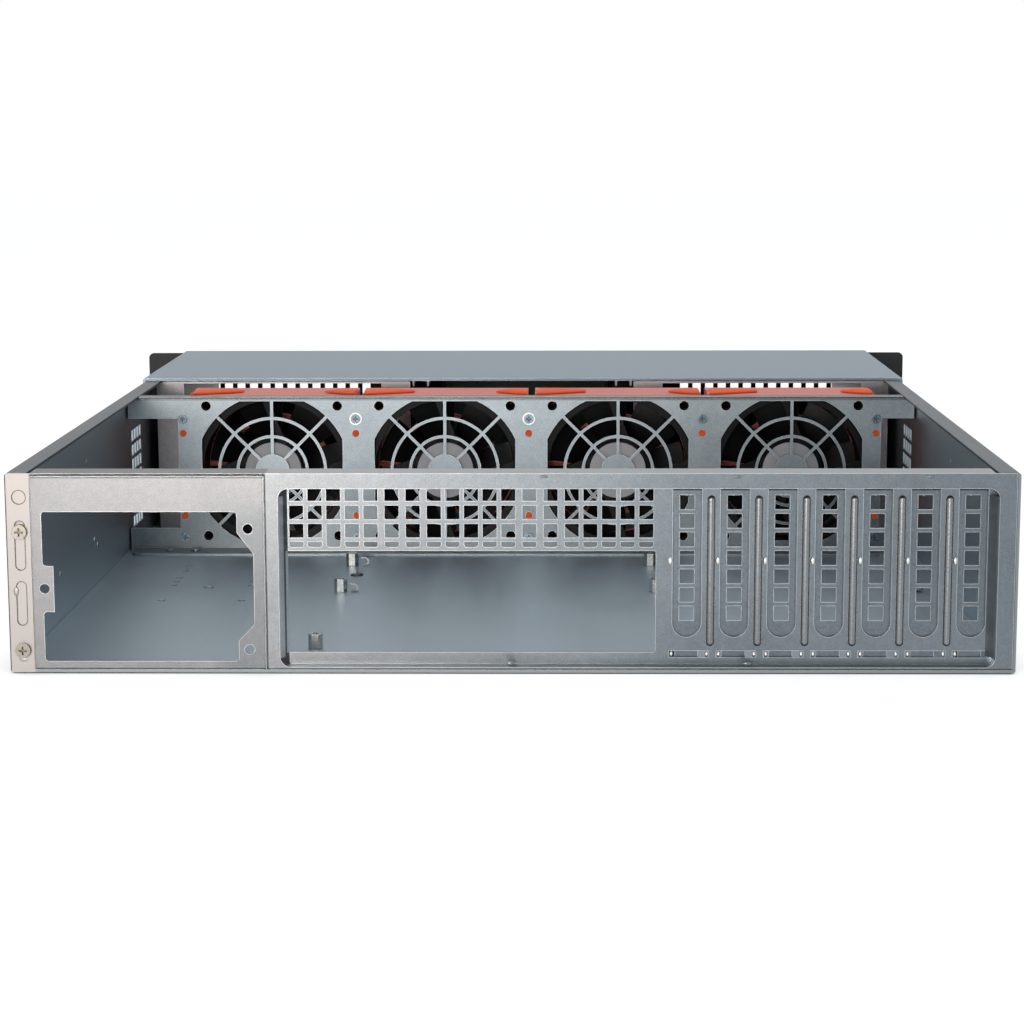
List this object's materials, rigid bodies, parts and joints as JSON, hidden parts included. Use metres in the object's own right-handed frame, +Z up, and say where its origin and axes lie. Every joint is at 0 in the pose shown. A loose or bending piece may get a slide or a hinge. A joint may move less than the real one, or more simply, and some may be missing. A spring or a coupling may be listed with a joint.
{
  "type": "rackmount server case",
  "caption": "Short two-unit rackmount server case with an open rear half, stamped rear panel, fan wall with lift-out fans and a covered drive section.",
  "frame": {"origin": "centre of the bounding box at the underside of the floor", "axes": "+X to the right seen from behind, +Y from the rear panel to the front panel, +Z up from the floor"},
  "size_m": [0.4826, 0.544, 0.088],
  "materials": {
    "tray_steel": "smooth galvanised steel, blue-grey, satin",
    "panel_steel": "galvanised steel with a fine pale speckle",
    "cover_steel": "bright galvanised sheet",
    "zinc": "zinc plated, faintly yellow",
    "brass": "nickel plated brass",
    "wall_steel": "galvanised steel with a fine speckle",
    "orange_plastic": "moulded orange plastic, semi-matt",
    "black_plastic": "black glass-filled plastic",
    "cage_steel": "galvanised steel, satin",
    "lid_steel": "galvanised steel, satin, faint streaks",
    "front_black": "fine-textured black powder coat",
    "control_plastic": "black moulded plastic, matt",
    "board_green": "green solder resist",
    "lens": "clear light pipe",
    "port_steel": "tinned steel shell"
  },
  "bodies": {
    "chassis": {"chassis_tray": "tray_steel", "rear_panel": "panel_steel", "psu_plate": "panel_steel", "psu_plate_screws": "zinc", "slot_cover_1": "cover_steel", "slot_cover_2": "cover_steel", "slot_cover_3": "cover_steel", "slot_cover_4": "cover_steel", "slot_cover_5": "cover_steel", "slot_cover_6": "cover_steel", "slot_cover_7": "cover_steel", "slot_shelf": "cover_steel", "slot_cover_screws": "zinc", "mainboard_standoffs": "brass", "fan_wall": "wall_steel", "fan_wall_rivets": "zinc", "fan_guide_1": "orange_plastic", "fan_guide_2": "orange_plastic", "fan_guide_3": "orange_plastic", "fan_guide_4": "orange_plastic", "fan_guide_5": "orange_plastic", "fan_guide_screws": "zinc", "drive_cage_left": "cage_steel", "drive_cage_right": "cage_steel", "front_cover": "lid_steel", "cover_brace_left": "cage_steel", "cover_brace_right": "cage_steel", "cover_screws": "zinc", "front_panel": "front_black", "front_panel_screws": "zinc", "control_panel": "control_plastic", "control_board": "board_green", "indicator_lights": "lens", "data_ports": "port_steel"},
    "fan_module_1": {"fan_cage_1": "orange_plastic", "fan_frame_1": "black_plastic"},
    "fan_rotor_body_1": {"fan_rotor_1": "black_plastic"},
    "fan_module_2": {"fan_cage_2": "orange_plastic", "fan_frame_2": "black_plastic"},
    "fan_rotor_body_2": {"fan_rotor_2": "black_plastic"},
    "fan_module_3": {"fan_cage_3": "orange_plastic", "fan_frame_3": "black_plastic"},
    "fan_rotor_body_3": {"fan_rotor_3": "black_plastic"},
    "fan_module_4": {"fan_cage_4": "orange_plastic", "fan_frame_4": "black_plastic"},
    "fan_rotor_body_4": {"fan_rotor_4": "black_plastic"},
    "power_button_body": {"power_button": "control_plastic"},
    "reset_button_body": {"reset_button": "control_plastic"}
  },
  "joints": [
    {"name": "fan_module_1_lift", "type": "slide", "parent": "chassis", "child": "fan_module_1", "axis": [0, 0, 1], "range_m": [0, 0.07]},
    {"name": "fan_rotor_1_spin", "type": "hinge", "parent": "fan_module_1", "child": "fan_rotor_body_1", "pos_m": [-0.1352, 0.0275, 0.0449], "axis": [0, 1, 0], "continuous": true},
    {"name": "fan_module_2_lift", "type": "slide", "parent": "chassis", "child": "fan_module_2", "axis": [0, 0, 1], "range_m": [0, 0.07]},
    {"name": "fan_rotor_2_spin", "type": "hinge", "parent": "fan_module_2", "child": "fan_rotor_body_2", "pos_m": [-0.041, 0.0275, 0.0449], "axis": [0, 1, 0], "continuous": true},
    {"name": "fan_module_3_lift", "type": "slide", "parent": "chassis", "child": "fan_module_3", "axis": [0, 0, 1], "range_m": [0, 0.07]},
    {"name": "fan_rotor_3_spin", "type": "hinge", "parent": "fan_module_3", "child": "fan_rotor_body_3", "pos_m": [0.0532, 0.0275, 0.0449], "axis": [0, 1, 0], "continuous": true},
    {"name": "fan_module_4_lift", "type": "slide", "parent": "chassis", "child": "fan_module_4", "axis": [0, 0, 1], "range_m": [0, 0.07]},
    {"name": "fan_rotor_4_spin", "type": "hinge", "parent": "fan_module_4", "child": "fan_rotor_body_4", "pos_m": [0.1474, 0.0275, 0.0449], "axis": [0, 1, 0], "continuous": true},
    {"name": "power_button_press", "type": "slide", "parent": "chassis", "child": "power_button_body", "axis": [0, -1, 0], "range_m": [0, 0.0012], "stiffness_N_per_m": 400},
    {"name": "reset_button_press", "type": "slide", "parent": "chassis", "child": "reset_button_body", "axis": [0, -1, 0], "range_m": [0, 0.0012], "stiffness_N_per_m": 400}
  ]
}
